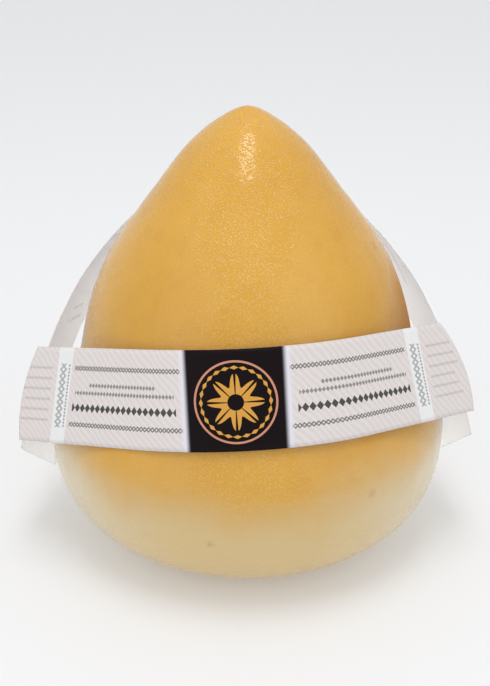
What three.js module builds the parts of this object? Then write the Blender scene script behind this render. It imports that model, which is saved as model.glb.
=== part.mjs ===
// A smoked cow's milk cheese of the tall kind that tapers to a point, standing on its rounded base.
// Two paper strips come with it. The front one lies across the waist of the cheese and stands clear of
// it at both sides. The back one is wider. It lies over the cone behind, curls forward as it comes down
// past both sides, and ends close behind the front one.
// Millimetres, +Z up. The origin is the middle of the flat spot that the cheese rests on, and the
// front of the cheese faces -Y.

import * as THREE from 'three';

const { degToRad, lerp } = THREE.MathUtils;

// Cheese: heights are above the resting spot, slopes are the change of radius with height
const CHEESE_HEIGHT = 136.6;
const FOOT_RADIUS = 19.5;
const BELLY = { z: 37.5, r: 62.8, slope: 0 };
const WAIST = { z: 62, r: 52.3, slope: -0.2 };
const SHOULDER = { z: 88, r: 44.3, slope: -0.5 };
const CONE = { z: 112, r: 27.9, slope: -0.76 };
const NOSE = { z: 133.5, r: 7.4, slope: -1.57 };
// Power of the superellipse that the underside's profile follows: 2 would be a plain ellipse
const UNDERSIDE_FULLNESS = 2.55;
const CHEESE_SECTORS = 56;

// Both strips: the middle of each lies on a cone about the Z axis, whose lean, and whose radius and
// height at the strip's middle, are given. At an angle from its middle the strip leaves the cone and
// runs on flat. It may bend once more, inwards, over a slanting line. A line with a positive slant
// lies farther out at its foot than at its head. An end is cut along such a line, at a distance from
// the middle of the strip, and may be cut back a little more at both corners than in between.
const PAPER = 0.5;
const FRONT_STRIP = {
  width: 28.6,
  lean: degToRad(16.2),
  radius: 53.3,
  height: 68.5,
  tilt: degToRad(3.1),
  left: { leaves: degToRad(34.9), end: 76.8, cutSlant: degToRad(17.8), cutBack: 2.4 },
  right: { leaves: degToRad(38.2), end: 75.7, cutSlant: degToRad(23.9), cutBack: 3 },
};
const BACK_STRIP = {
  width: 38.6,
  lean: degToRad(37.6),
  radius: 42.2,
  height: 95,
  tilt: 0,
  left: {
    leaves: degToRad(127),
    bend: { at: 42.6, radius: 69.5, slant: degToRad(-47.3), turn: degToRad(80.3) },
    end: 122.9,
    cutSlant: degToRad(4.2),
    cutBack: 0,
  },
  right: {
    leaves: degToRad(129.1),
    bend: { at: 41.4, radius: 73.2, slant: degToRad(-46.6), turn: degToRad(75.1) },
    end: 128.7,
    cutSlant: degToRad(8),
    cutBack: 0,
  },
};

const material = (color, roughness) => new THREE.MeshStandardMaterial({ color, roughness, metalness: 0 });
const rind = material(0xd2a042, 0.42);
const paper = material(0xdcd6d6, 0.7);

// Radius between two stations of the profile, by a cubic that keeps both radii and both slopes
function blend(low, high, z) {
  const rise = high.z - low.z;
  const t = (z - low.z) / rise;
  const t2 = t * t;
  const t3 = t2 * t;
  const ends = low.r * (2 * t3 - 3 * t2 + 1) + high.r * (3 * t2 - 2 * t3);
  const slopes = rise * (low.slope * (t3 - 2 * t2 + t) + high.slope * (t3 - t2));
  return ends + slopes;
}

const STATIONS = [BELLY, WAIST, SHOULDER, CONE, NOSE];

// Radius of the cheese at a height between the belly and the nose
function cheeseRadius(z) {
  const upper = STATIONS.findIndex((station, i) => i > 0 && z <= station.z);
  return blend(STATIONS[upper - 1], STATIONS[upper], z);
}

// Profile from the middle of the resting spot up to the tip
function cheeseProfile() {
  const points = [new THREE.Vector2(0, 0)];
  const power = 2 / UNDERSIDE_FULLNESS;
  const underSteps = 10;
  for (let i = 0; i <= underSteps; i++) {
    const angle = (Math.PI / 2) * (i / underSteps);
    const r = FOOT_RADIUS + (BELLY.r - FOOT_RADIUS) * Math.sin(angle) ** power;
    const z = BELLY.z * (1 - Math.cos(angle) ** power);
    points.push(new THREE.Vector2(r, z));
  }
  const wallSteps = 20;
  for (let i = 1; i <= wallSteps; i++) {
    const z = lerp(BELLY.z, NOSE.z, i / wallSteps);
    points.push(new THREE.Vector2(cheeseRadius(z), z));
  }
  const start = new THREE.Vector2(NOSE.r, NOSE.z);
  const corner = new THREE.Vector2(NOSE.r + NOSE.slope * (CHEESE_HEIGHT - NOSE.z), CHEESE_HEIGHT);
  const tip = new THREE.Vector2(0, CHEESE_HEIGHT);
  const cap = new THREE.QuadraticBezierCurve(start, corner, tip);
  points.push(...cap.getPoints(5).slice(1));
  return points;
}

// A turned solid whose axis is moved from Y, where a lathe puts it, to Z
function makeCheese() {
  const geometry = new THREE.LatheGeometry(cheeseProfile(), CHEESE_SECTORS);
  geometry.rotateX(Math.PI / 2);
  return geometry;
}

// Point of the flat strip, s to the right and t up from its middle, once it lies on its cone or,
// past the angle where it leaves, on the plane that touches the cone there
function onCone(s, t, strip, leaves) {
  const sin = Math.sin(strip.lean);
  const cos = Math.cos(strip.lean);
  const slant = strip.radius / sin;
  const apex = strip.height + slant * cos;
  const across = s * Math.cos(strip.tilt) - t * Math.sin(strip.tilt);
  const down = slant - s * Math.sin(strip.tilt) - t * Math.cos(strip.tilt);
  const turned = Math.atan2(Math.abs(across), down);
  const reach = Math.hypot(across, down);
  const azimuth = Math.min(turned / sin, leaves);
  const past = Math.max(turned - leaves * sin, 0);
  const along = reach * Math.cos(past);
  const off = reach * Math.sin(past);
  const x = along * sin * Math.sin(azimuth) + off * Math.cos(azimuth);
  const y = off * Math.sin(azimuth) - along * sin * Math.cos(azimuth);
  return new THREE.Vector3(Math.sign(across) * x, y, apex - along * cos);
}

// The same point with the bend of its side, where it has one, applied beyond the slanting bend line
function onStrip(s, t, strip) {
  const side = s < 0 ? -1 : 1;
  const { leaves, bend } = s < 0 ? strip.left : strip.right;
  const cos = bend ? Math.cos(bend.slant) : 1;
  const sin = bend ? Math.sin(bend.slant) : 0;
  const past = bend ? (Math.abs(s) - bend.at) * cos + t * sin : 0;
  if (past <= 0) return onCone(s, t, strip, leaves);
  const s0 = s - side * past * cos;
  const t0 = t - past * sin;
  const start = onCone(s0, t0, strip, leaves);
  const ahead = onCone(s0 + side * cos, t0 + sin, strip, leaves).sub(start).normalize();
  const upLine = onCone(s0 - side * sin, t0 + cos, strip, leaves).sub(start).normalize();
  const outward = new THREE.Vector3().crossVectors(ahead, upLine).multiplyScalar(side);
  const arc = Math.min(past, bend.radius * bend.turn);
  const angle = arc / bend.radius;
  const straight = past - arc;
  const forward = bend.radius * Math.sin(angle) + straight * Math.cos(angle);
  const inward = bend.radius * (1 - Math.cos(angle)) + straight * Math.sin(angle);
  return start.addScaledVector(ahead, forward).addScaledVector(outward, -inward);
}

// Bends a flat box of paper: u along the strip and v up it run from -1 to 1, and the thickness is
// laid half to each side of the strip's surface
function makeStrip(strip, steps) {
  const place = (u, v) => {
    const t = (v * strip.width) / 2;
    const { end, cutSlant, cutBack } = u < 0 ? strip.left : strip.right;
    return onStrip(u * (end - t * Math.tan(cutSlant) - v * v * cutBack), t, strip);
  };
  const geometry = new THREE.BoxGeometry(2, PAPER, 2, steps, 1, 6);
  const position = geometry.attributes.position;
  const nudge = 1e-4;
  for (let i = 0; i < position.count; i++) {
    const u = position.getX(i);
    const v = position.getZ(i);
    const alongU = place(u + nudge, v).sub(place(u - nudge, v));
    const alongV = place(u, v + nudge).sub(place(u, v - nudge));
    const facing = alongV.cross(alongU).normalize();
    const point = place(u, v).addScaledVector(facing, position.getY(i));
    position.setXYZ(i, point.x, point.y, point.z);
  }
  return geometry;
}

const group = new THREE.Group();

function add(name, geometry, material) {
  const mesh = new THREE.Mesh(geometry, material);
  mesh.name = name;
  group.add(mesh);
  return mesh;
}

add('cheese', makeCheese(), rind);
add('front_label', makeStrip(FRONT_STRIP, 48), paper);
const backLabel = add('back_label', makeStrip(BACK_STRIP, 84), paper);
backLabel.rotation.z = Math.PI;

export default group;
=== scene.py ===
"""Looks of a whole smoked cheese with its two printed paper strips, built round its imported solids."""

import math

import bpy
from mathutils import Matrix, Vector


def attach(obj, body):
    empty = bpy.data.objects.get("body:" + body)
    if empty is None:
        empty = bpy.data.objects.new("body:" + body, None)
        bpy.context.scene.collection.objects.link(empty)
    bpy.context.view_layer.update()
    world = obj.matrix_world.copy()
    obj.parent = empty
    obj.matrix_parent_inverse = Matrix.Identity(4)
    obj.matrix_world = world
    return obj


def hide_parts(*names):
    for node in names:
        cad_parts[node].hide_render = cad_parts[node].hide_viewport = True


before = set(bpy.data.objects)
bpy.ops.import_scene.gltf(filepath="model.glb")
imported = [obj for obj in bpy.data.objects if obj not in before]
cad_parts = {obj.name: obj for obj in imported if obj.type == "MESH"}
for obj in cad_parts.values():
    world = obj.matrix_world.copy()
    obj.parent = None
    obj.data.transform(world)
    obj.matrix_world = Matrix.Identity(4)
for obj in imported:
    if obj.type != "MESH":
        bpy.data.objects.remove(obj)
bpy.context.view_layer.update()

bl_info = {
    "name": "Smoked cheese",
    "version": (1, 0, 0),
    "blender": (4, 5, 0),
    "location": "3D Viewport > Sidebar > Cheese",
    "description": "Builds a smoked cheese, its two paper strips and a plain studio",
    "category": "Add Mesh",
}

MM = 0.001


def linear(code):
    """Linear colour with alpha from an sRGB hex code such as "d2a042"."""
    shares = [int(code[i : i + 2], 16) / 255 for i in (0, 2, 4)]
    return tuple(c / 12.92 if c <= 0.04045 else ((c + 0.055) / 1.055) ** 2.4 for c in shares) + (1.0,)


def smooth(x, low, high):
    """0 below low, 1 above high, and an S curve between them."""
    x = min(max((x - low) / (high - low), 0.0), 1.0)
    return x * x * (3 - 2 * x)


def per_metre(size):
    """Scale of a pattern on Object coordinates whose cells are so many millimetres across."""
    return 1 / (size * MM)


def add(tree, kind, *inputs, named=None, **settings):
    """Adds a node with its settings and feeds its inputs, in order or by name. None leaves one alone."""
    node = tree.nodes.new(kind)
    for name, value in settings.items():
        setattr(node, name, value)
    fed = list(zip(node.inputs, inputs))
    fed += [(node.inputs[key], value) for key, value in (named or {}).items()]
    for socket, value in fed:
        if isinstance(value, bpy.types.NodeSocket):
            tree.links.new(value, socket)
        elif value is not None:
            socket.default_value = value
    return node


def new_material(name):
    """An empty node material and its output node."""
    material = bpy.data.materials.new(name)
    material.use_nodes = True
    material.node_tree.nodes.clear()
    return material, add(material.node_tree, "ShaderNodeOutputMaterial")


def layered(tree, colour, coats):
    """Colour of a surface once its coats lie on it in order, each a mask, its strength and an ink."""
    for mask, strength, ink in coats:
        share = add(tree, "ShaderNodeMath", mask, strength, operation="MULTIPLY").outputs[0]
        mixed = add(tree, "ShaderNodeMix", named={0: share, 6: colour, 7: ink}, data_type="RGBA")
        colour = mixed.outputs[2]
    return colour


def mesh_object(name, vertices, faces):
    """A new object at the origin whose place is in its mesh. Vertices are in millimetres."""
    mesh = bpy.data.meshes.new(name)
    mesh.from_pydata([Vector(v) * MM for v in vertices], [], faces)
    mesh.update()
    obj = bpy.data.objects.new(name, mesh)
    bpy.context.scene.collection.objects.link(obj)
    return obj


# Cheese, in millimetres: heights are above the resting spot, slopes are change of radius with height

BELLY = (37.5, 62.8, 0.0)
WAIST = (62.0, 52.3, -0.2)
SHOULDER = (88.0, 44.3, -0.5)
CONE = (112.0, 27.9, -0.76)
NOSE = (133.5, 7.4, -1.57)
STATIONS = (BELLY, WAIST, SHOULDER, CONE, NOSE)
UNDERSIDE_FULLNESS = 2.55


def wall_radius(z):
    """Radius of the wall between the belly and the nose, by cubics through the stations."""
    z = min(max(z, BELLY[0]), NOSE[0])
    i = next(i for i in range(1, len(STATIONS)) if z <= STATIONS[i][0])
    (z0, r0, k0), (z1, r1, k1) = STATIONS[i - 1], STATIONS[i]
    rise = z1 - z0
    t = (z - z0) / rise
    ends = r0 * (2 * t**3 - 3 * t**2 + 1) + r1 * (3 * t**2 - 2 * t**3)
    return ends + rise * (k0 * (t**3 - 2 * t**2 + t) + k1 * (t**3 - t**2))


def cheese_profile(height, foot):
    """Radius and height from the middle of the resting spot up to the tip."""
    belly_z, belly_r, _ = BELLY
    nose_z, nose_r, nose_slope = NOSE
    points = [(0.0, 0.0)]
    power = 2 / UNDERSIDE_FULLNESS
    for i in range(41):
        angle = math.pi / 2 * i / 40
        reach, drop = math.sin(angle) ** power, max(math.cos(angle), 0.0) ** power
        points.append((foot + (belly_r - foot) * reach, belly_z * (1 - drop)))
    for i in range(1, 121):
        z = belly_z + (nose_z - belly_z) * i / 120
        points.append((wall_radius(z), z))
    corner = nose_r + nose_slope * (height - nose_z)
    for i in range(1, 13):
        t = i / 12
        r = nose_r * (1 - t) ** 2 + 2 * corner * t * (1 - t)
        z = nose_z * (1 - t) ** 2 + height * (2 * t * (1 - t) + t * t)
        points.append((r, z))
    return points


def turning_tree(material):
    """Geometry nodes that turn a profile in the XZ plane round Z and make the wall slightly uneven."""
    tree = bpy.data.node_groups.new("Turned rind", "GeometryNodeTree")
    face = tree.interface
    face.new_socket(name="Geometry", in_out="INPUT", socket_type="NodeSocketGeometry")
    for name, kind, default in (
        ("Sectors", "NodeSocketInt", 360),
        ("Rings", "NodeSocketInt", 190),
        ("Dents", "NodeSocketFloat", 0.0004),
        ("Ripple", "NodeSocketFloat", 0.00012),
    ):
        face.new_socket(name=name, in_out="INPUT", socket_type=kind).default_value = default
    face.new_socket(name="Geometry", in_out="OUTPUT", socket_type="NodeSocketGeometry")
    given = add(tree, "NodeGroupInput").outputs

    # A flat unit grid, whose X becomes the angle and whose Y becomes the place along the profile
    columns = add(tree, "ShaderNodeMath", given["Sectors"], 1.0, operation="ADD").outputs[0]
    grid = add(tree, "GeometryNodeMeshGrid", 1.0, 1.0, columns, given["Rings"])
    curve = add(tree, "GeometryNodeMeshToCurve", given["Geometry"])
    flat = add(tree, "ShaderNodeSeparateXYZ", add(tree, "GeometryNodeInputPosition").outputs[0]).outputs
    share = add(tree, "ShaderNodeMath", flat["Y"], 0.5, operation="ADD").outputs[0]
    sample = add(
        tree,
        "GeometryNodeSampleCurve",
        named={"Curves": curve.outputs[0], "Factor": share},
        mode="FACTOR",
        use_all_curves=True,
    )
    angle = add(tree, "ShaderNodeMath", flat["X"], 2 * math.pi, operation="MULTIPLY").outputs[0]
    profile = add(tree, "ShaderNodeSeparateXYZ", sample.outputs["Position"]).outputs
    sides = []
    for wave in ("COSINE", "SINE"):
        turn = add(tree, "ShaderNodeMath", angle, operation=wave).outputs[0]
        sides.append(add(tree, "ShaderNodeMath", profile["X"], turn, operation="MULTIPLY").outputs[0])
    turned = add(tree, "ShaderNodeCombineXYZ", *sides, profile["Z"]).outputs[0]
    wall = add(
        tree, "GeometryNodeSetPosition", named={"Geometry": grid.outputs["Mesh"], "Position": turned}
    )
    closed = add(
        tree, "GeometryNodeMergeByDistance", named={"Geometry": wall.outputs[0], "Distance": 0.00001}
    )

    # Shallow dents a few centimetres across and a finer ripple. Noise strays from its middle by half
    # at most, so they are doubled, and they fade out at the resting spot.
    place = add(tree, "GeometryNodeInputPosition").outputs[0]
    normal = add(tree, "GeometryNodeInputNormal").outputs[0]
    height = add(tree, "ShaderNodeSeparateXYZ", place).outputs["Z"]
    total = 0.0
    for size, amount in ((38.5, given["Dents"]), (6.67, given["Ripple"])):
        noise = add(
            tree, "ShaderNodeTexNoise", named={"Vector": place, "Scale": per_metre(size), "Detail": 1.0}
        )
        about = add(tree, "ShaderNodeMath", noise.outputs[0], 0.5, operation="SUBTRACT").outputs[0]
        total = add(tree, "ShaderNodeMath", about, amount, total, operation="MULTIPLY_ADD").outputs[0]
    fade = add(tree, "ShaderNodeMapRange", height, 0.001, 0.014, 0.0, 2.0).outputs[0]
    total = add(tree, "ShaderNodeMath", total, fade, operation="MULTIPLY").outputs[0]
    push = add(tree, "ShaderNodeVectorMath", named={0: normal, 3: total}, operation="SCALE").outputs[0]
    uneven = add(tree, "GeometryNodeSetPosition", named={"Geometry": closed.outputs[0], "Offset": push})
    shaded = add(tree, "GeometryNodeSetShadeSmooth", uneven.outputs[0])
    real = add(tree, "GeometryNodeRealizeInstances", shaded.outputs[0])
    covered = add(
        tree, "GeometryNodeSetMaterial", named={"Geometry": real.outputs[0], "Material": material}
    )
    add(tree, "NodeGroupOutput", covered.outputs[0])
    return tree


def apply_tree(obj, tree, values):
    """Runs a geometry tree on an object and leaves its result as the object's plain mesh."""
    modifier = obj.modifiers.new("Shape", "NODES")
    modifier.node_group = tree
    for item in tree.interface.items_tree:
        if item.in_out == "INPUT" and item.name in values:
            modifier[item.identifier] = values[item.name]
    graph = bpy.context.evaluated_depsgraph_get()
    made = bpy.data.meshes.new_from_object(
        obj.evaluated_get(graph), preserve_all_data_layers=True, depsgraph=graph
    )
    obj.modifiers.remove(modifier)
    obj.data = made


# Small marks on the rind: angle from the front in degrees, height, half width and depth in millimetres.
# A negative depth is a small bump.
MARKS = (
    (34.5, 37.5, 0.8, 0.2),
    (-9.8, 26.5, 0.8, 0.2),
    (-44.6, 32.7, 0.9, -0.12),
    (-38.7, 29.4, 0.8, -0.15),
    (75.1, 97.0, 0.9, 0.25),
    (150.0, 41.0, 1.2, 0.3),
    (-140.0, 72.0, 1.0, 0.25),
    (110.0, 28.0, 1.1, 0.25),
)
# The nib left at the tip when the curd was pressed: a low dome ringed by a shallow crease, whose half
# width, depth and strength of its painted shade in the material follow
NIB = Vector((1.0, -6.8, 134.6))
NIB_RADIUS = 3.2
CREASE = (0.6, 0.09, 0.12)


def mark_rind(mesh, profile):
    """Presses the dents, bumps and the nib's crease into the mesh, and keeps for the material how dark the
    dents are and the painted shade in the crease.
    """
    outer = [(r, z) for r, z in profile if r > 20]
    places = []
    for degrees, z, size, depth in MARKS:
        angle = math.radians(degrees)
        r = min(outer, key=lambda p: abs(p[1] - z))[0]
        places.append((Vector((r * math.sin(angle), -r * math.cos(angle), z)), size, depth))
    width, crease_depth, crease_shade = CREASE
    strengths = []
    for vertex in mesh.vertices:
        at = vertex.co / MM
        strength = 0.0
        for centre, size, depth in places:
            distance = (at - centre).length
            if distance < 3 * size:
                bell = math.exp(-((distance / size) ** 2))
                vertex.co -= vertex.normal * depth * bell * MM
                strength = max(strength, bell if depth > 0 else 0.0)
        distance = (at - NIB).length
        if distance < 3 * NIB_RADIUS:
            bell = math.exp(-(((distance - NIB_RADIUS) / width) ** 2))
            vertex.co -= vertex.normal * crease_depth * bell * MM
            # The crease is darkened in the material as painted shade
            strength = max(strength, crease_shade * bell)
        strengths.append(strength)
    attribute = mesh.attributes.new("marks_and_crease_shade", "FLOAT", "POINT")
    attribute.data.foreach_set("value", strengths)
    mesh.update()


def rind_material(colours):
    """Smoked natural rind: smooth, oily and slightly see-through, orange-ochre from birch smoke.

    It is paler low down where the smoke reached it less, and has a painted shade on its right flank. It
    has a fine grain like orange peel that is coarser near the tip, pale beads of fat with a painted glint
    down the middle, and its oily film breaks the light into small glints.
    """
    material, output = new_material("Smoked rind")
    tree = material.node_tree
    place = add(tree, "ShaderNodeTexCoord").outputs["Object"]
    across, _, height = add(tree, "ShaderNodeSeparateXYZ", place).outputs
    squared = add(tree, "ShaderNodeMath", across, across, operation="MULTIPLY").outputs[0]

    # Clouds of smoke 29 mm across, patches of 6 mm and a soft grain of 2.4 mm
    cloud, patch, peel = [
        add(
            tree, "ShaderNodeTexNoise", named={"Vector": place, "Scale": per_metre(size), "Detail": detail}
        ).outputs[0]
        for size, detail in ((29.412, 3.0), (6.25, 2.0), (2.381, 1.0))
    ]
    # Beads of fat 0.3 mm across, too fine to show, so they are drawn at 0.45 mm and 0.7 mm apart. Their
    # pale colour is strongest down the middle, where it is a painted glint.
    spacing = add(tree, "ShaderNodeTexVoronoi", named={"Vector": place, "Scale": per_metre(0.68966)})
    # The pale zone's cloudy edge is higher at both sides than in front and behind
    level = add(tree, "ShaderNodeMath", squared, -2.4, height, operation="MULTIPLY_ADD").outputs[0]
    level = add(tree, "ShaderNodeMath", cloud, 0.02, level, operation="MULTIPLY_ADD").outputs[0]

    # What each mask follows, between which two values, in metres where it is a place and in square
    # metres where it is squared, and how strong it is at both
    masks = {}
    for name, source, low, high, at_low, at_high, curve in (
        ("light", cloud, 0.35, 0.65, 0.0, 1.0, "LINEAR"),
        ("blotch", patch, 0.55, 0.75, 0.0, 0.1, "LINEAR"),
        ("bead", spacing.outputs["Distance"], 0.12, 0.55, 1.0, 0.0, "SMOOTHSTEP"),
        # middle: where the beads' pale colour is a painted glint, strong down the middle and faint at the
        # sides
        ("middle", squared, 0.00005, 0.0006, 0.24, 0.02, "LINEAR"),
        ("lower wall", height, 0.075, 0.118, 0.25, 0.0, "LINEAR"),
        ("right flank", across, 0.0375, 0.05, 0.0, 0.9, "SMOOTHSTEP"),
        ("below the cone", height, 0.084, 0.1, 1.0, 0.0, "LINEAR"),
        ("above the belly", height, 0.062, 0.07, 0.0, 1.0, "LINEAR"),
        ("pale zone", level, 0.036, 0.058, 1.0, 0.0, "SMOOTHSTEP"),
        ("both sides", squared, 0.0004167, 0.0025, 0.0, 1.0, "LINEAR"),
        ("film", patch, 0.35, 0.65, 0.12, 0.19, "LINEAR"),
        ("towards the tip", height, 0.085, 0.125, 0.25, 1.0, "LINEAR"),
    ):
        masks[name] = add(
            tree, "ShaderNodeMapRange", source, low, high, at_low, at_high, interpolation_type=curve
        ).outputs[0]
    # Painted shade on the right flank, held between the belly and the cone
    flank_shade = masks["right flank"]
    for window in (masks["below the cone"], masks["above the belly"]):
        flank_shade = add(tree, "ShaderNodeMath", flank_shade, window, operation="MULTIPLY").outputs[0]
    underside = layered(tree, colours.pale, [(masks["both sides"], 1.0, colours.palest)])
    marks_and_crease_shade = add(tree, "ShaderNodeAttribute", attribute_name="marks_and_crease_shade").outputs["Fac"]
    coats = [
        (masks["light"], 1.0, colours.light),
        (masks["blotch"], 1.0, colours.dark),
        # Beads of fat, pale down the middle as a painted glint
        (masks["bead"], masks["middle"], colours.fat_glint),
        (masks["lower wall"], 1.0, colours.dull),
        # Painted shade on the right flank
        (flank_shade, 1.0, colours.dark),
        (masks["pale zone"], 1.0, underside),
        # Dark marks, and the painted shade in the nib's crease
        (marks_and_crease_shade, 0.5, colours.dark),
    ]

    # Oily film: smoother where it pooled and dry on the right flank, where shade is painted. The beads
    # stand a little proud of the soft grain, most of all near the tip.
    rough = add(tree, "ShaderNodeMath", flank_shade, 0.6, masks["film"], operation="MULTIPLY_ADD").outputs[0]
    proud = add(
        tree, "ShaderNodeMath", masks["bead"], masks["towards the tip"], operation="MULTIPLY"
    ).outputs[0]
    relief = None
    for strength, depth, shape in ((0.25, 0.0006, peel), (1.0, 0.00014, proud)):
        relief = add(
            tree,
            "ShaderNodeBump",
            named={"Strength": strength, "Distance": depth, "Height": shape, "Normal": relief},
        ).outputs[0]
    shader = add(
        tree,
        "ShaderNodeBsdfPrincipled",
        named={
            "Base Color": layered(tree, colours.smoked, coats),
            "Roughness": rough,
            "Specular IOR Level": 0.54,
            "Subsurface Weight": 0.12,
            "Subsurface Radius": (0.9, 0.5, 0.2),
            "Subsurface Scale": 0.003,
            "Normal": relief,
        },
    )
    tree.links.new(shader.outputs[0], output.inputs["Surface"])
    return material


# Paper strips, in millimetres and degrees. The middle of each lies on a cone about Z, leaves it at an
# angle from its middle and runs on flat. Its sides may bend once more over a slanting line. The ends
# are cut at a slant and cut back a little at both corners.

FRONT_STRIP = {
    "width": 28.6,
    "lean": 16.2,
    "radius": 53.3,
    "height": 68.5,
    "tilt": 3.1,
    "facing": 0.0,
    "left": {"leaves": 34.9, "bend": None, "end": 76.8, "cut": 17.8, "back": 2.4},
    "right": {"leaves": 38.2, "bend": None, "end": 75.7, "cut": 23.9, "back": 3.0},
}
BACK_STRIP = {
    "width": 38.6,
    "lean": 37.6,
    "radius": 42.2,
    "height": 95.0,
    "tilt": 0.0,
    "facing": 180.0,
    "left": {"leaves": 127.0, "bend": (42.6, 69.5, -47.3, 80.3), "end": 122.9, "cut": 4.2, "back": 0.0},
    "right": {"leaves": 129.1, "bend": (41.4, 73.2, -46.6, 75.1), "end": 128.7, "cut": 8.0, "back": 0.0},
}


def on_cone(s, t, strip, leaves):
    """Place of a point of the strip, s along it and t up it, on its cone or on the plane beyond."""
    sin, cos = math.sin(math.radians(strip["lean"])), math.cos(math.radians(strip["lean"]))
    tilt = math.radians(strip["tilt"])
    slant = strip["radius"] / sin
    apex = strip["height"] + slant * cos
    across = s * math.cos(tilt) - t * math.sin(tilt)
    down = slant - s * math.sin(tilt) - t * math.cos(tilt)
    turned = math.atan2(abs(across), down)
    reach = math.hypot(across, down)
    azimuth = min(turned / sin, math.radians(leaves))
    past = max(turned - math.radians(leaves) * sin, 0.0)
    along, off = reach * math.cos(past), reach * math.sin(past)
    x = along * sin * math.sin(azimuth) + off * math.cos(azimuth)
    y = off * math.sin(azimuth) - along * sin * math.cos(azimuth)
    return Vector((math.copysign(x, across), y, apex - along * cos))


def on_strip(s, t, strip):
    """The same place with the bend of that side, where it has one."""
    side = -1 if s < 0 else 1
    end = strip["left" if s < 0 else "right"]
    if not end["bend"]:
        return on_cone(s, t, strip, end["leaves"])
    at, radius, slant, turn = end["bend"]
    cos, sin = math.cos(math.radians(slant)), math.sin(math.radians(slant))
    past = (abs(s) - at) * cos + t * sin
    if past <= 0:
        return on_cone(s, t, strip, end["leaves"])
    s0, t0 = s - side * past * cos, t - past * sin
    start = on_cone(s0, t0, strip, end["leaves"])
    ahead = (on_cone(s0 + side * cos, t0 + sin, strip, end["leaves"]) - start).normalized()
    up_line = (on_cone(s0 - side * sin, t0 + cos, strip, end["leaves"]) - start).normalized()
    outward = ahead.cross(up_line) * side
    arc = min(past, radius * math.radians(turn))
    angle, straight = arc / radius, past - arc
    forward = radius * math.sin(angle) + straight * math.cos(angle)
    inward = radius * (1 - math.cos(angle)) + straight * math.sin(angle)
    return start + ahead * forward - outward * inward


# Print of the strips, in millimetres: half the width of the dark panel and the start of the white stripe
PANEL, STRIPE = 14.1, 55.1
# Per strip: the middle of the panel, how far the cross lines slant and the right side is drawn out, and
# how much larger the print is than on the front strip
FRONT_PRINT = {"middle": -3.25, "slant": 0.2, "drawn": 2.2, "scale": 1.0}
BACK_PRINT = {"middle": 0.0, "slant": 0.0, "drawn": 0.0, "scale": 1.35}


def print_place(s, t, layout):
    """Place in the print: distance from its middle along its slightly slanting cross lines, height, and
    signed distance from the middle."""
    across, up = s / layout["scale"] - layout["middle"], t / layout["scale"]
    beyond = smooth(abs(across), PANEL, PANEL + 25)
    drawn = layout["drawn"] if across > 0 else 0.0
    return abs(across) + (layout["slant"] * up - drawn) * beyond, up, across


def build_strip(name, strip, layout, settings, materials):
    """A strip as one thin sheet with thickness, and the places of its print as an attribute."""
    columns, rows = settings.columns, 20
    half = strip["width"] / 2
    vertices, prints, flat = [], [], []
    for i in range(columns + 1):
        for j in range(rows + 1):
            u, v = 2 * i / columns - 1, 2 * j / rows - 1
            end = strip["left" if u < 0 else "right"]
            t = v * half
            s = u * (end["end"] - t * math.tan(math.radians(end["cut"])) - v * v * end["back"])
            vertices.append(on_strip(s, t, strip))
            prints.append(print_place(s, t, layout))
            flat.append((s / 260 + 0.5, t / 260 + 0.5))
    faces = []
    for i in range(columns):
        for j in range(rows):
            a = i * (rows + 1) + j
            faces.append((a, a + rows + 1, a + rows + 2, a + 1))
    obj = mesh_object(name, vertices, faces)
    mesh = obj.data
    mesh.transform(Matrix.Rotation(math.radians(strip["facing"]), 4, "Z"))
    attribute = mesh.attributes.new("print", "FLOAT_VECTOR", "POINT")
    attribute.data.foreach_set("vector", [c for place in prints for c in place])
    uv = mesh.uv_layers.new(name="UVMap")
    for loop in mesh.loops:
        uv.data[loop.index].uv = flat[loop.vertex_index]
    for polygon in mesh.polygons:
        polygon.use_smooth = True
    for material in materials:
        mesh.materials.append(material)
    thick = obj.modifiers.new("Thickness", "SOLIDIFY")
    thick.thickness = settings.thickness
    thick.offset = 0.0
    thick.material_offset = 1
    thick.material_offset_rim = 1
    return obj


def lozenges(tree, along, across, row, pitch, height, low, high, outline=False):
    """Mask of a row of small lozenges printed between two places along the strip, in millimetres."""
    swing = add(tree, "ShaderNodeMath", along, pitch / 2, operation="PINGPONG").outputs[0]
    above = add(tree, "ShaderNodeMath", across, row, operation="SUBTRACT").outputs[0]
    above = add(tree, "ShaderNodeMath", above, operation="ABSOLUTE").outputs[0]
    above = add(tree, "ShaderNodeMath", above, 2 / height, operation="MULTIPLY").outputs[0]
    total = add(tree, "ShaderNodeMath", swing, 2 / pitch, above, operation="MULTIPLY_ADD").outputs[0]
    centre, spread = (1.0, 0.4) if outline else (0.0, 1.0)
    shape = add(tree, "ShaderNodeMath", total, centre, spread, operation="COMPARE").outputs[0]
    middle, half = (low + high) / 2, (high - low) / 2
    inside = add(tree, "ShaderNodeMath", along, middle, half, operation="COMPARE").outputs[0]
    return add(tree, "ShaderNodeMath", shape, inside, operation="MULTIPLY").outputs[0]


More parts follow.
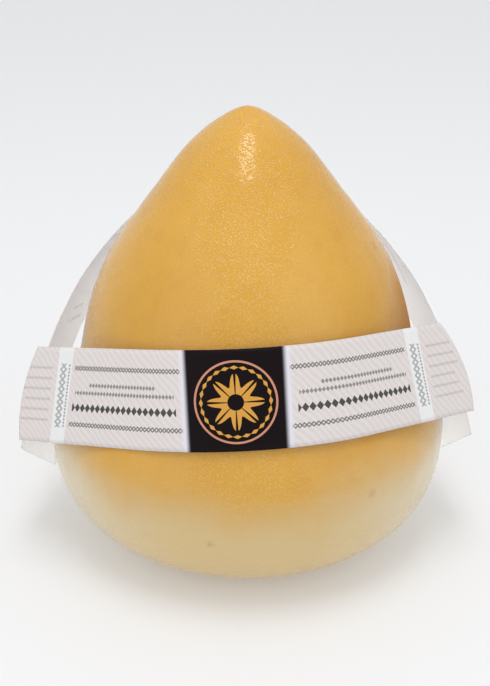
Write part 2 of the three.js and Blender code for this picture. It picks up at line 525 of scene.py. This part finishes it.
def paper_material(colours):
    """Coated label paper printed by offset: a faint diagonal security pattern, a dark panel with a plain
    gold rosette, rows of small lozenges, and a bare white stripe near each end. The coat gives it a
    soft shine, and the dark ink shines a little more."""
    material, output = new_material("Coated label paper")
    tree = material.node_tree
    places = add(tree, "ShaderNodeAttribute", attribute_name="print").outputs["Vector"]
    x, y, z = add(tree, "ShaderNodeSeparateXYZ", places).outputs
    ink = colours.ink

    # Diagonal lines 1.7 mm apart, softly bent by clouds 9 mm across, in a pinkish and a greyish tint
    lean = add(tree, "ShaderNodeMath", y, 0.88, z, operation="MULTIPLY_ADD").outputs[0]
    wander = add(
        tree, "ShaderNodeTexNoise", named={"Vector": places, "Scale": 1 / 9.091, "Detail": 1.0}
    ).outputs[0]
    wander = add(tree, "ShaderNodeMath", wander, 3.2, lean, operation="MULTIPLY_ADD").outputs[0]
    wave = add(tree, "ShaderNodeMath", wander, 2.75, operation="MULTIPLY").outputs[0]
    wave = add(tree, "ShaderNodeMath", wave, operation="SINE").outputs[0]
    wave = add(tree, "ShaderNodeMapRange", wave, -0.7, 0.7, 0.0, 1.0).outputs[0]
    coats = [(wave, 1.0, colours.pink_tint)]

    # Two chains along the edges and rows of lozenges: height on the strip, pitch, height, how far they
    # stay from the panel and from the stripe, strength, and whether they are outlines
    end = STRIPE - 1.1
    for row, pitch, height, low, high, strength, outline in (
        (8.3, 1.15, 1.2, 0.0, 0.0, 0.75, True),
        (-8.3, 1.15, 1.2, 0.0, 0.0, 0.75, True),
        (3.4, 1.1, 1.5, 9.5, 6.2, 0.62, False),
        (1.1, 1.1, 1.5, 3.5, 1.2, 0.62, False),
        (-3.3, 1.9, 2.6, 3.0, 0.6, 0.92, False),
    ):
        line = lozenges(tree, x, y, row, pitch, height, PANEL + low, end - high, outline)
        coats.append((line, strength, ink))
    # Six faint rows beyond the stripe, 3.1 mm apart, whose ends are ragged
    for i in range(6):
        row, last = 8.1 - 3.12 * i, STRIPE + 17.4 + i % 3
        coats.append((lozenges(tree, x, y, row, 0.9, 1.2, STRIPE + 7.2, last), 0.25, ink))

    # White stripe with a chain and a row of fine dots along it, the dots always to the right
    white = add(tree, "ShaderNodeMath", x, STRIPE + 2.75, 2.75, operation="COMPARE").outputs[0]
    coats.append((white, 1.0, colours.white))
    side = add(tree, "ShaderNodeMath", z, operation="SIGN").outputs[0]
    signed = add(tree, "ShaderNodeMath", x, side, operation="MULTIPLY").outputs[0]
    for row, pitch, height, strength, outline in (
        (-STRIPE - 3.2, 1.95, 2.0, 0.5, True),
        (STRIPE + 2.3, 1.95, 2.0, 0.5, True),
        (-STRIPE - 0.95, 1.0, 0.8, 0.55, False),
        (STRIPE + 4.5, 1.0, 0.8, 0.55, False),
    ):
        coats.append((lozenges(tree, y, signed, row, pitch, height, -9.5, 9.5, outline), strength, ink))

    # Dark panel, whose edges fade out over a violet-white halo
    halo, solid = [
        add(
            tree, "ShaderNodeMapRange", x, low, high, 1.0, 0.0, interpolation_type="SMOOTHSTEP"
        ).outputs[0]
        for low, high in ((PANEL + 0.7, PANEL + 2.1), (PANEL - 0.9, PANEL + 0.8))
    ]
    coats += [(halo, 1.0, colours.halo), (solid, 1.0, colours.panel)]

    # Plain rosette of eight petals inside a ring of beads and a plain ring
    up = add(tree, "ShaderNodeMath", y, 0.5, operation="ADD").outputs[0]
    angle = add(tree, "ShaderNodeMath", up, z, operation="ARCTAN2").outputs[0]
    flat = add(tree, "ShaderNodeCombineXYZ", z, up, 0.0).outputs[0]
    radius = add(tree, "ShaderNodeVectorMath", flat, operation="LENGTH").outputs["Value"]
    ring = add(tree, "ShaderNodeMath", radius, 11.4, 0.3, operation="COMPARE").outputs[0]
    petals = add(tree, "ShaderNodeMath", angle, 8.0, operation="MULTIPLY").outputs[0]
    petals = add(tree, "ShaderNodeMath", petals, operation="COSINE").outputs[0]
    edge = add(tree, "ShaderNodeMath", petals, 1.9, 6.2, operation="MULTIPLY_ADD").outputs[0]
    body = add(tree, "ShaderNodeMath", radius, edge, operation="LESS_THAN").outputs[0]
    eye = add(tree, "ShaderNodeMath", radius, 2.3, operation="GREATER_THAN").outputs[0]
    vein = add(tree, "ShaderNodeMath", petals, 0.93, operation="LESS_THAN").outputs[0]
    body = add(tree, "ShaderNodeMath", body, eye, operation="MULTIPLY").outputs[0]
    beads = lozenges(tree, angle, radius, 9.7, math.pi / 12, 1.1, -4.0, 4.0)
    coats += [(ring, 1.0, colours.copper), (body, vein, colours.gold), (beads, 1.0, colours.gold)]

    # Paper fibres about 0.3 mm apart, drawn at 0.6 mm, and the shine of the coat
    fibre = add(
        tree, "ShaderNodeTexNoise", named={"Vector": places, "Scale": 1 / 0.625, "Detail": 2.0}
    ).outputs[0]
    bump = add(
        tree, "ShaderNodeBump", named={"Strength": 0.08, "Distance": 0.0002, "Height": fibre}
    ).outputs[0]
    rough = add(tree, "ShaderNodeMapRange", solid, 0.0, 1.0, 0.55, 0.45).outputs[0]
    shader = add(
        tree,
        "ShaderNodeBsdfPrincipled",
        named={
            "Base Color": layered(tree, colours.grey_tint, coats),
            "Roughness": rough,
            "Specular IOR Level": 0.1,
            "Normal": bump,
        },
    )
    tree.links.new(shader.outputs[0], output.inputs["Surface"])
    return material


def paper_back_material(colours):
    """The uncoated back of label paper: matt, slightly warm, with faint fibres. It is thin enough to
    glow a little against the light and to let three short rows of the print show through."""
    material, output = new_material("Uncoated paper back")
    tree = material.node_tree
    place = add(tree, "ShaderNodeTexCoord").outputs["Object"]
    places = add(tree, "ShaderNodeAttribute", attribute_name="print").outputs["Vector"]
    _, y, z = add(tree, "ShaderNodeSeparateXYZ", places).outputs

    # Fibres about 0.3 mm apart, drawn at 0.7 mm
    fibre = add(
        tree, "ShaderNodeTexNoise", named={"Vector": place, "Scale": per_metre(0.66667), "Detail": 3.0}
    ).outputs[0]
    coats = [(fibre, 1.0, colours.fibre)]
    # The rows slant across the strip: place along it, height, both ends and strength
    skew = add(tree, "ShaderNodeMath", y, -0.8, z, operation="MULTIPLY_ADD").outputs[0]
    for row, height, low, high, strength in (
        (60.8, 1.7, -10.6, -4.7, 0.5),
        (56.8, 1.5, -8.4, -3.9, 0.5),
        (-43.3, 2.7, -3.9, 8.7, 0.3),
    ):
        coats.append((lozenges(tree, y, skew, row, 0.7, height, low, high), strength, colours.ink))
    bump = add(
        tree, "ShaderNodeBump", named={"Strength": 0.1, "Distance": 0.0001, "Height": fibre}
    ).outputs[0]
    shader = add(
        tree,
        "ShaderNodeBsdfPrincipled",
        named={
            "Base Color": layered(tree, colours.uncoated, coats),
            "Roughness": 0.8,
            "Subsurface Weight": 1.0,
            "Subsurface Radius": (1.0, 1.0, 1.0),
            "Subsurface Scale": 0.002,
            "Normal": bump,
        },
    )
    tree.links.new(shader.outputs[0], output.inputs["Surface"])
    return material


def colour_property(name, code, description):
    """A colour setting with its default as an sRGB hex code."""
    return bpy.props.FloatVectorProperty(
        name=name,
        description=description,
        subtype="COLOR",
        size=4,
        min=0.0,
        max=1.0,
        default=linear(code),
    )


class CheeseSettings(bpy.types.PropertyGroup):
    """Sizes and colours of the cheese."""

    height: bpy.props.FloatProperty(
        name="Height", description="From the resting spot to the tip", default=0.1366, unit="LENGTH"
    )
    foot: bpy.props.FloatProperty(
        name="Foot radius", description="Radius of the flat resting spot", default=0.0195, unit="LENGTH"
    )
    dents: bpy.props.FloatProperty(
        name="Dents", description="Height of the broad unevenness", default=0.0004, unit="LENGTH"
    )
    ripple: bpy.props.FloatProperty(
        name="Ripple", description="Height of the finer unevenness", default=0.00012, unit="LENGTH"
    )
    sectors: bpy.props.IntProperty(name="Sectors", description="Faces round the cheese", default=360)
    rings: bpy.props.IntProperty(name="Rings", description="Points along its profile", default=190)
    smoked: colour_property("Smoked", "daa235", "Main tone of the rind")
    light: colour_property("Light", "e2ac42", "Lighter clouds of the rind")
    # Also the painted shade on the right flank and in the nib's crease
    dark: colour_property("Dark", "b07018", "Darker blotches and marks")
    dull: colour_property("Dull", "a67c30", "Duller tone of the lower wall")
    pale: colour_property("Pale", "d7bc86", "Underside that the smoke reached less")
    palest: colour_property("Palest", "dac9a5", "The same at both sides")
    # Pale beads of fat, and the painted glint they make down the middle
    fat_glint: colour_property("Fat", "f4dca6", "Beads of fat")


class StripSettings(bpy.types.PropertyGroup):
    """Sizes and inks of the paper strips."""

    thickness: bpy.props.FloatProperty(
        name="Thickness", description="Thickness of the paper", default=0.00015, unit="LENGTH"
    )
    columns: bpy.props.IntProperty(name="Columns", description="Faces along a strip", default=240)
    pink_tint: colour_property("Pink tint", "e5dcdb", "Pinkish lines of the security pattern")
    grey_tint: colour_property("Grey tint", "dcd6d2", "Greyish lines of the security pattern")
    white: colour_property("White", "ececec", "Bare paper of the stripes")
    halo: colour_property("Halo", "e6e3ec", "Glow beside the dark panel")
    panel: colour_property("Panel", "140b0d", "Dark panel")
    ink: colour_property("Ink", "2b2f2e", "Lines and lozenges")
    gold: colour_property("Gold", "d9a04a", "Rosette")
    copper: colour_property("Copper", "cf9078", "Ring round the rosette")
    uncoated: colour_property("Uncoated", "f2f1f3", "Back of the paper")
    fibre: colour_property("Fibre", "f8f7f9", "Lighter fibres of the back")


class StageSettings(bpy.types.PropertyGroup):
    """Plain studio round the cheese."""

    floor: colour_property("Floor", "dadbdd", "Floor and backdrop")
    glow: bpy.props.FloatProperty(
        name="Glow", description="Strength of the light that comes through the floor", default=0.215
    )
    surround: bpy.props.FloatProperty(
        name="Surround", description="Strength of the light from all round", default=0.72
    )
    key: bpy.props.FloatProperty(
        name="Key light", description="Power of the light overhead", default=1.65, unit="POWER"
    )
    side: bpy.props.FloatProperty(
        name="Side lights", description="Power of each light at the side", default=0.6, unit="POWER"
    )
    paper: bpy.props.FloatProperty(
        name="Paper lights", description="Power of each light behind the strip", default=1.0, unit="POWER"
    )
    backdrop: bpy.props.FloatProperty(
        name="Backdrop light", description="Power of the light on the backdrop", default=0.4, unit="POWER"
    )


class CHEESE_OT_body(bpy.types.Operator):
    """Builds the cheese with its smoked rind."""

    bl_idname = "cheese.body"
    bl_label = "Cheese"

    def execute(self, context):
        settings = context.scene.cheese_settings
        profile = cheese_profile(settings.height / MM, settings.foot / MM)
        mesh = bpy.data.meshes.new("smoked_cheese")
        edges = [(i, i + 1) for i in range(len(profile) - 1)]
        mesh.from_pydata([Vector((r, 0.0, z)) * MM for r, z in profile], edges, [])
        obj = bpy.data.objects.new("smoked_cheese", mesh)
        context.scene.collection.objects.link(obj)
        material = rind_material(settings)
        values = {
            "Sectors": settings.sectors,
            "Rings": settings.rings,
            "Dents": settings.dents,
            "Ripple": settings.ripple,
        }
        apply_tree(obj, turning_tree(material), values)
        if not obj.data.polygons:
            raise RuntimeError("the cheese came out empty")
        mark_rind(obj.data, profile)
        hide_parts("cheese")
        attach(obj, "root")
        return {"FINISHED"}


class CHEESE_OT_strips(bpy.types.Operator):
    """Builds the paper strip across the waist and the one over the cone behind."""

    bl_idname = "cheese.strips"
    bl_label = "Paper strips"

    def execute(self, context):
        settings = context.scene.strip_settings
        back = paper_back_material(settings)
        front = paper_material(settings)
        for name, node, strip, layout in (
            ("front_strip", "front_label", FRONT_STRIP, FRONT_PRINT),
            ("back_strip", "back_label", BACK_STRIP, BACK_PRINT),
        ):
            obj = build_strip(name, strip, layout, settings, (front, back))
            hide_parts(node)
            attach(obj, "root")
        return {"FINISHED"}


# Camera: its place in metres, the angle in radians by which it looks down, and in pixels the height of
# the picture, the focal length and how far the picture's middle column is off the axis
CAMERA_PLACE = (0.0, -0.3444, 0.2206)
LOOKS_DOWN = 0.434
PICTURE_HEIGHT = 686
FOCAL_LENGTH = 1200
OFF_AXIS = 2.5


class CHEESE_OT_stage(bpy.types.Operator):
    """Builds the floor with its backdrop, the lights and the camera."""

    bl_idname = "cheese.stage"
    bl_label = "Stage, lights and camera"

    def execute(self, context):
        scene = context.scene
        settings = scene.stage_settings
        floor = self.floor(settings)

        world = bpy.data.worlds.new("Studio")
        world.use_nodes = True
        world.node_tree.nodes.clear()
        sky = add(world.node_tree, "ShaderNodeBackground", (0.99, 0.99, 0.995, 1.0), settings.surround)
        out = add(world.node_tree, "ShaderNodeOutputWorld")
        world.node_tree.links.new(sky.outputs[0], out.inputs[0])
        scene.world = world

        # Two lights shine through the thin back strip from behind and reach nothing else
        papers = bpy.data.collections.new("Papers")
        papers.objects.link(bpy.data.objects["back_strip"])
        for name, place, target, size, power in (
            ("Key", (0.0, -0.15, 0.8), (0.0, 0.0, 0.1), (0.2, 0.42), settings.key),
            ("Left", (-0.6, -0.5, 0.45), (0.0, 0.0, 0.07), (0.6, 0.6), settings.side),
            ("Right", (0.6, -0.5, 0.45), (0.0, 0.0, 0.07), (0.6, 0.6), settings.side),
            ("Left paper", (-0.45, 0.3, 0.25), (-0.06, 0.0, 0.07), (0.4, 0.4), 0.75 * settings.paper),
            ("Right paper", (0.45, 0.3, 0.25), (0.06, 0.0, 0.07), (0.4, 0.4), 1.3 * settings.paper),
            ("Backdrop", (0.0, 0.35, 1.1), (0.0, 1.5, 0.2), (1.6, 0.4), settings.backdrop),
        ):
            data = bpy.data.lights.new(name, "AREA")
            data.shape = "RECTANGLE"
            data.size, data.size_y = size
            data.energy = power
            lamp = bpy.data.objects.new(name, data)
            lamp.location = place
            lamp.rotation_euler = (Vector(target) - Vector(place)).to_track_quat("-Z", "Y").to_euler()
            scene.collection.objects.link(lamp)
            if name.endswith("paper"):
                lamp.light_linking.receiver_collection = papers

        data = bpy.data.cameras.new("Camera")
        data.sensor_width = 36.0
        data.lens = data.sensor_width * FOCAL_LENGTH / PICTURE_HEIGHT
        data.shift_x = -OFF_AXIS / PICTURE_HEIGHT
        camera = bpy.data.objects.new("Camera", data)
        camera.location = CAMERA_PLACE
        camera.rotation_euler = (math.pi / 2 - LOOKS_DOWN, 0.0, 0.0)
        scene.collection.objects.link(camera)
        scene.camera = camera
        scene.view_settings.view_transform = "Standard"
        return {"FINISHED"}

    def floor(self, settings):
        """A floor that rises into a backdrop far behind, as one smooth sheet."""
        front, back, radius, top, side = -6000.0, 1100.0, 500.0, 1800.0, 6000.0
        line = [(front, 0.0), (-400.0, 0.0), (0.0, 0.0), (400.0, 0.0)]
        for i in range(13):
            angle = math.pi / 2 * i / 12
            line.append((back + radius * math.sin(angle), radius * (1 - math.cos(angle))))
        line.append((back + radius, top))
        across = (-side, -600.0, 0.0, 600.0, side)
        vertices = [(x, y, z) for y, z in line for x in across]
        count = len(across)
        faces = [
            (a * count + b, a * count + b + 1, (a + 1) * count + b + 1, (a + 1) * count + b)
            for a in range(len(line) - 1)
            for b in range(count - 1)
        ]
        obj = mesh_object("floor", vertices, faces)
        for polygon in obj.data.polygons:
            polygon.use_smooth = True
        # White acrylic, lit a little from below, which lightens the shadow at the foot
        material, output = new_material("White acrylic")
        tree = material.node_tree
        shader = add(
            tree,
            "ShaderNodeBsdfPrincipled",
            named={
                "Base Color": settings.floor,
                "Roughness": 0.7,
                "Specular IOR Level": 0.2,
                "Emission Color": (1.0, 1.0, 1.0, 1.0),
                "Emission Strength": settings.glow,
            },
        )
        tree.links.new(shader.outputs[0], output.inputs["Surface"])
        obj.data.materials.append(material)
        return obj


class CHEESE_PT_panel(bpy.types.Panel):
    """Lists the pieces and their settings."""

    bl_label = "Cheese"
    bl_idname = "CHEESE_PT_panel"
    bl_space_type = "VIEW_3D"
    bl_region_type = "UI"
    bl_category = "Cheese"

    def draw(self, context):
        for operator, group in STEPS:
            box = self.layout.box()
            box.operator(operator)
            settings = getattr(context.scene, group)
            for name in settings.__annotations__:
                box.prop(settings, name)


STEPS = (
    ("cheese.body", "cheese_settings"),
    ("cheese.strips", "strip_settings"),
    ("cheese.stage", "stage_settings"),
)
CLASSES = (
    CheeseSettings,
    StripSettings,
    StageSettings,
    CHEESE_OT_body,
    CHEESE_OT_strips,
    CHEESE_OT_stage,
    CHEESE_PT_panel,
)


def register():
    for cls in CLASSES:
        bpy.utils.register_class(cls)
    bpy.types.Scene.cheese_settings = bpy.props.PointerProperty(type=CheeseSettings)
    bpy.types.Scene.strip_settings = bpy.props.PointerProperty(type=StripSettings)
    bpy.types.Scene.stage_settings = bpy.props.PointerProperty(type=StageSettings)


def unregister():
    for _, group in STEPS:
        delattr(bpy.types.Scene, group)
    for cls in reversed(CLASSES):
        bpy.utils.unregister_class(cls)


def main():
    """Builds everything."""
    register()
    bpy.ops.cheese.body()
    bpy.ops.cheese.strips()
    bpy.ops.cheese.stage()


if __name__ == "__main__":
    main()
